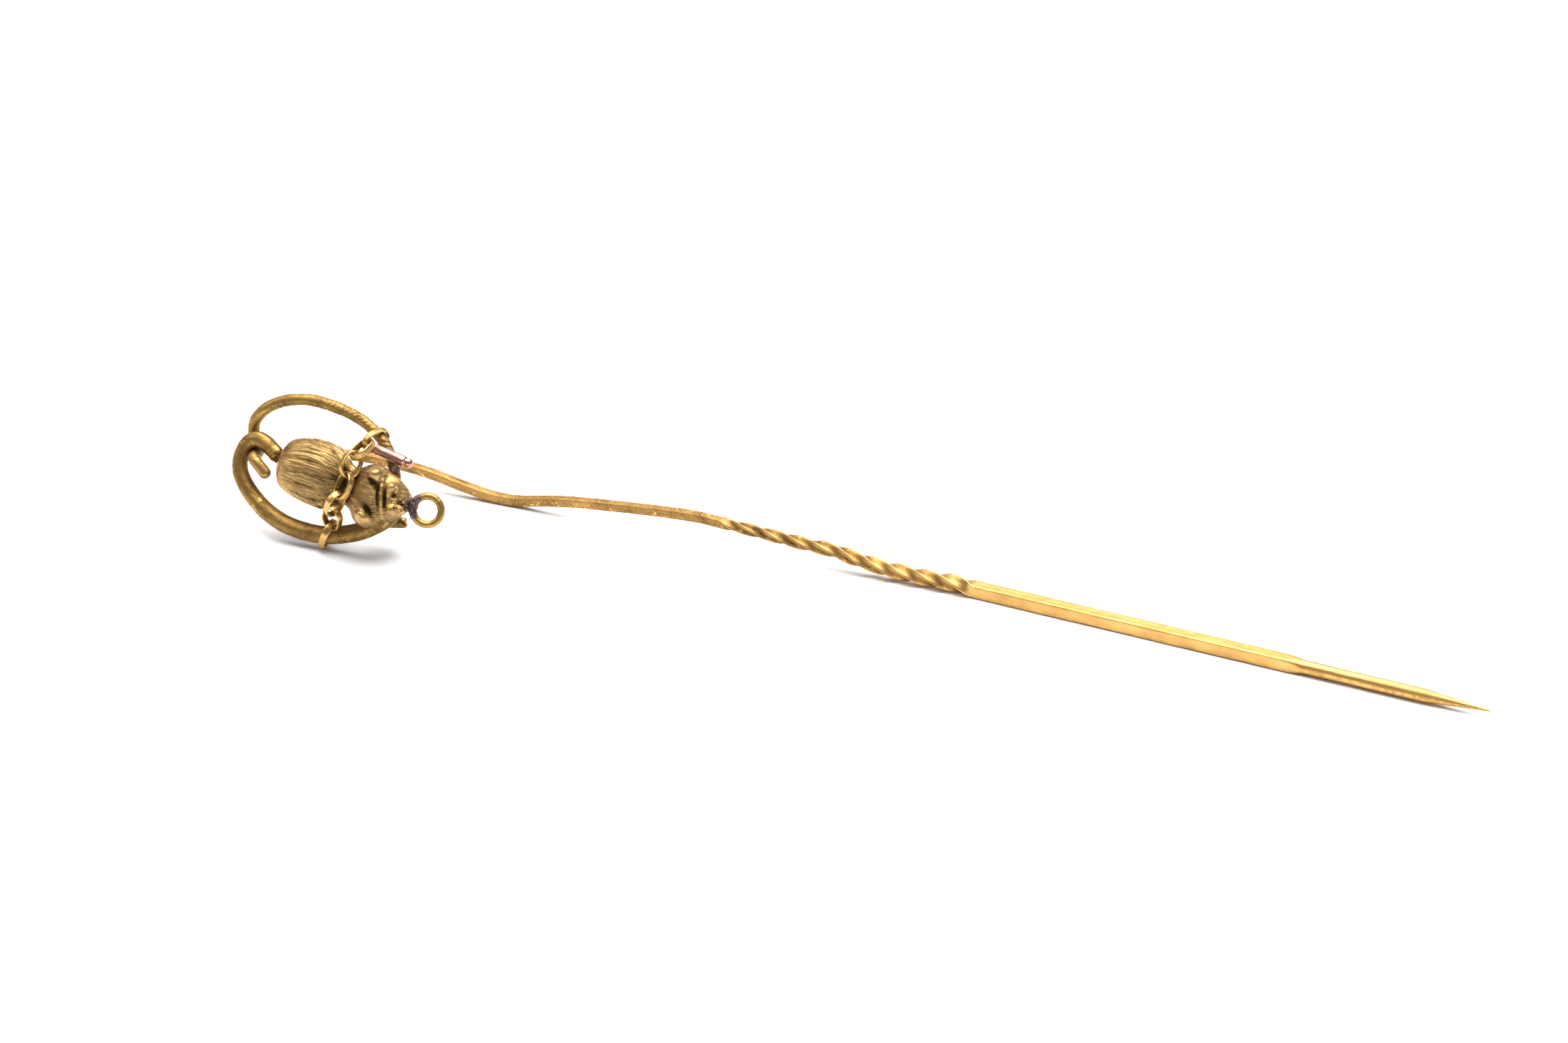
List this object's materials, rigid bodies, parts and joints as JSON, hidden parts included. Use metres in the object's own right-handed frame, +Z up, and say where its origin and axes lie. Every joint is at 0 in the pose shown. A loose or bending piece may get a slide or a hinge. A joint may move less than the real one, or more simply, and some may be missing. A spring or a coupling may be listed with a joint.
{
  "type": "stick pin",
  "caption": "Stick pin: long-tailed animal in an oval hoop, ribbon-link chain across its neck, ring at its snout, on a bent and twisted square wire with a plain point.",
  "frame": {"origin": "middle of the outline as it lies on a flat surface, at the height of that surface", "axes": "+X toward the point, +Z up from the surface it lies on, the animal looks away from -Y"},
  "size_m": [0.062, 0.0084, 0.0065],
  "materials": {
    "dark_gold": "old yellow gold with a dull skin and dark dirt in its hollows",
    "figure_gold": "cast yellow gold, fur grooves dark, high spots worn bright",
    "chain_gold": "worn yellow gold ribbon, soft sheen",
    "pin_gold": "brighter orange gold, satin",
    "rose_gold": "red gold, polished and slightly tarnished",
    "solder": "dark oxidised solder with silvery grains"
  },
  "bodies": {
    "pin": {"figure": "figure_gold", "tail_strand": "dark_gold", "hoop_wire": "dark_gold", "snout_ring": "figure_gold", "ring_solder": "solder", "rose_rod": "rose_gold", "rod_solder": "solder", "lower_stub": "dark_gold", "pin_shank": "pin_gold", "stem_solder": "solder"},
    "link_1": {"link_1": "chain_gold"},
    "link_2": {"link_2": "chain_gold"},
    "link_3": {"link_3": "chain_gold"},
    "link_4": {"link_4": "chain_gold"},
    "link_5": {"link_5": "chain_gold"},
    "link_6": {"link_6": "chain_gold"},
    "link_7": {"link_7": "chain_gold"}
  },
  "joints": [
    {"name": "link_1_swing", "type": "hinge", "parent": "pin", "child": "link_1", "pos_m": [-0.02346, -0.00063, 0.005], "axis": [0.7198, -0.3253, -0.6132], "range_deg": [-2, 2]},
    {"name": "link_2_rock", "type": "hinge", "parent": "link_1", "child": "link_2", "pos_m": [-0.02397, -0.00183, 0.00515], "axis": [-0.2563, -0.9392, -0.2284], "range_deg": [-3, 3]},
    {"name": "link_3_rock", "type": "hinge", "parent": "link_2", "child": "link_3", "pos_m": [-0.02419, -0.00267, 0.0047], "axis": [-0.1646, -0.7478, -0.6432], "range_deg": [-3, 3]},
    {"name": "link_4_rock", "type": "hinge", "parent": "link_3", "child": "link_4", "pos_m": [-0.0243, -0.00335, 0.00384], "axis": [-0.2472, -0.454, -0.856], "range_deg": [-3, 3]},
    {"name": "link_7_swing", "type": "hinge", "parent": "pin", "child": "link_7", "pos_m": [-0.02548, -0.00313, 0.00072], "axis": [0.9897, 0.0959, 0.1064], "range_deg": [-2, 2]},
    {"name": "link_6_rock", "type": "hinge", "parent": "link_7", "child": "link_6", "pos_m": [-0.02498, -0.0034, 0.00195], "axis": [-0.298, 0.2027, -0.9328], "range_deg": [-3, 3]},
    {"name": "link_5_rock", "type": "hinge", "parent": "link_6", "child": "link_5", "pos_m": [-0.02471, -0.00362, 0.00292], "axis": [-0.3364, -0.0246, -0.9414], "range_deg": [-3, 3]}
  ]
}
